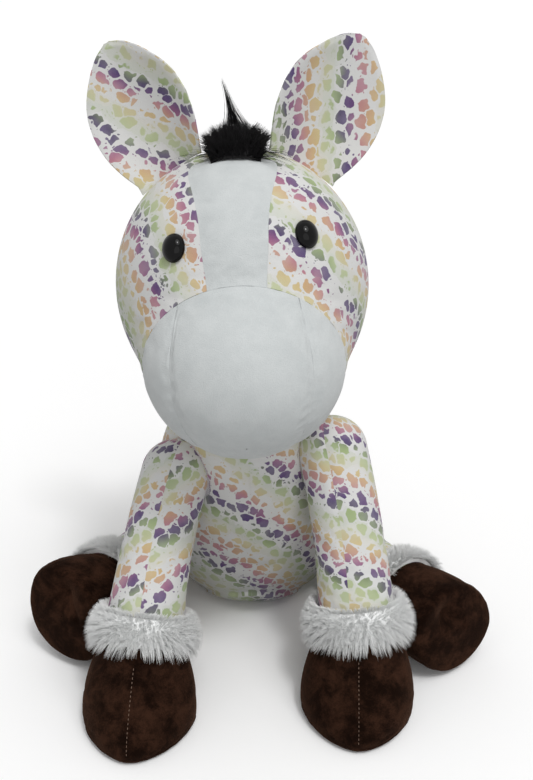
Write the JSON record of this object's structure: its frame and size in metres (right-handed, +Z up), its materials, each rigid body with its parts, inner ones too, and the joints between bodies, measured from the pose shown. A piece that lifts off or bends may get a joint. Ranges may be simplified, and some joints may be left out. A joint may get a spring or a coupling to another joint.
{
  "type": "plush horse",
  "caption": "Seated soft toy horse with animal-spot cloth, white muzzle, upright ears, fur cuffs and dark hooves; head, ears, legs and tail move on soft joints.",
  "frame": {"origin": "on the floor, on the flat face of the seat panel, straight under the horse's middle", "axes": "+Z up; the horse faces -Y; +X is the horse's own left"},
  "size_m": [0.4007, 0.4034, 0.5159],
  "materials": {
    "printed_cloth": "matte",
    "white_plush": "matte",
    "velour": "matte",
    "dark_hair": "matte",
    "filling": "matte",
    "eye_plastic": "gloss",
    "washer_plastic": "satin"
  },
  "bodies": {
    "torso": {"body_cover_left": "printed_cloth", "body_cover_right": "printed_cloth", "body_stuffing": "filling", "seat_panel": "printed_cloth"},
    "head": {"head_side_left": "printed_cloth", "head_side_right": "printed_cloth", "forehead_blaze": "white_plush", "muzzle_middle": "white_plush", "muzzle_cheek_left": "white_plush", "muzzle_cheek_right": "white_plush", "head_stuffing": "filling", "eye_left": "eye_plastic", "eye_right": "eye_plastic", "eye_washer_left": "washer_plastic", "eye_washer_right": "washer_plastic", "forelock": "dark_hair", "mane": "dark_hair"},
    "ear_left": {"ear_lining_left": "printed_cloth", "ear_back_left": "printed_cloth"},
    "ear_right": {"ear_lining_right": "printed_cloth", "ear_back_right": "printed_cloth"},
    "tail": {"tail": "dark_hair"},
    "front_leg_left": {"front_leg_left_sleeve": "printed_cloth", "front_leg_left_stuffing": "filling", "front_leg_left_cuff": "white_plush", "front_leg_left_hoof_inner": "velour", "front_leg_left_hoof_outer": "velour", "front_leg_left_hoof_sole": "velour", "front_leg_left_hoof_stuffing": "filling"},
    "front_leg_right": {"front_leg_right_sleeve": "printed_cloth", "front_leg_right_stuffing": "filling", "front_leg_right_cuff": "white_plush", "front_leg_right_hoof_inner": "velour", "front_leg_right_hoof_outer": "velour", "front_leg_right_hoof_sole": "velour", "front_leg_right_hoof_stuffing": "filling"},
    "hind_leg_left": {"hind_leg_left_sleeve": "printed_cloth", "hind_leg_left_stuffing": "filling", "hind_leg_left_cuff": "white_plush", "hind_leg_left_hoof_inner": "velour", "hind_leg_left_hoof_outer": "velour", "hind_leg_left_hoof_sole": "velour", "hind_leg_left_hoof_stuffing": "filling"},
    "hind_leg_right": {"hind_leg_right_sleeve": "printed_cloth", "hind_leg_right_stuffing": "filling", "hind_leg_right_cuff": "white_plush", "hind_leg_right_hoof_inner": "velour", "hind_leg_right_hoof_outer": "velour", "hind_leg_right_hoof_sole": "velour", "hind_leg_right_hoof_stuffing": "filling"}
  },
  "joints": [
    {"name": "head_nod", "type": "hinge", "parent": "torso", "child": "head", "pos_m": [0, -0.075, 0.24], "axis": [1, 0, 0], "range_deg": [-12, 4], "stiffness_Nm_per_rad": 6},
    {"name": "ear_left_flop", "type": "hinge", "parent": "head", "child": "ear_left", "pos_m": [0.03732, -0.06769, 0.42502], "axis": [0.8576, 0.2068, -0.4709], "range_deg": [-12, 12], "stiffness_Nm_per_rad": 0.06},
    {"name": "ear_right_flop", "type": "hinge", "parent": "head", "child": "ear_right", "pos_m": [-0.05582, -0.06732, 0.42062], "axis": [0.8492, -0.2068, 0.4858], "range_deg": [-12, 12], "stiffness_Nm_per_rad": 0.06},
    {"name": "front_leg_left_swing", "type": "hinge", "parent": "torso", "child": "front_leg_left", "pos_m": [0.068, -0.105, 0.196], "axis": [-1, 0, 0], "range_deg": [0, 25], "stiffness_Nm_per_rad": 1.5},
    {"name": "front_leg_right_swing", "type": "hinge", "parent": "torso", "child": "front_leg_right", "pos_m": [-0.062, -0.105, 0.174], "axis": [-1, 0, 0], "range_deg": [0, 25], "stiffness_Nm_per_rad": 1.5},
    {"name": "hind_leg_left_splay", "type": "hinge", "parent": "torso", "child": "hind_leg_left", "pos_m": [0.07, 0.022, 0.044], "axis": [0, 0, 1], "range_deg": [0, 20], "stiffness_Nm_per_rad": 1},
    {"name": "hind_leg_right_splay", "type": "hinge", "parent": "torso", "child": "hind_leg_right", "pos_m": [-0.07, 0.022, 0.044], "axis": [0, 0, -1], "range_deg": [0, 20], "stiffness_Nm_per_rad": 1},
    {"name": "tail_lift", "type": "hinge", "parent": "torso", "child": "tail", "pos_m": [0, 0.0935, 0.10454], "axis": [1, 0, 0], "range_deg": [0, 45]}
  ]
}
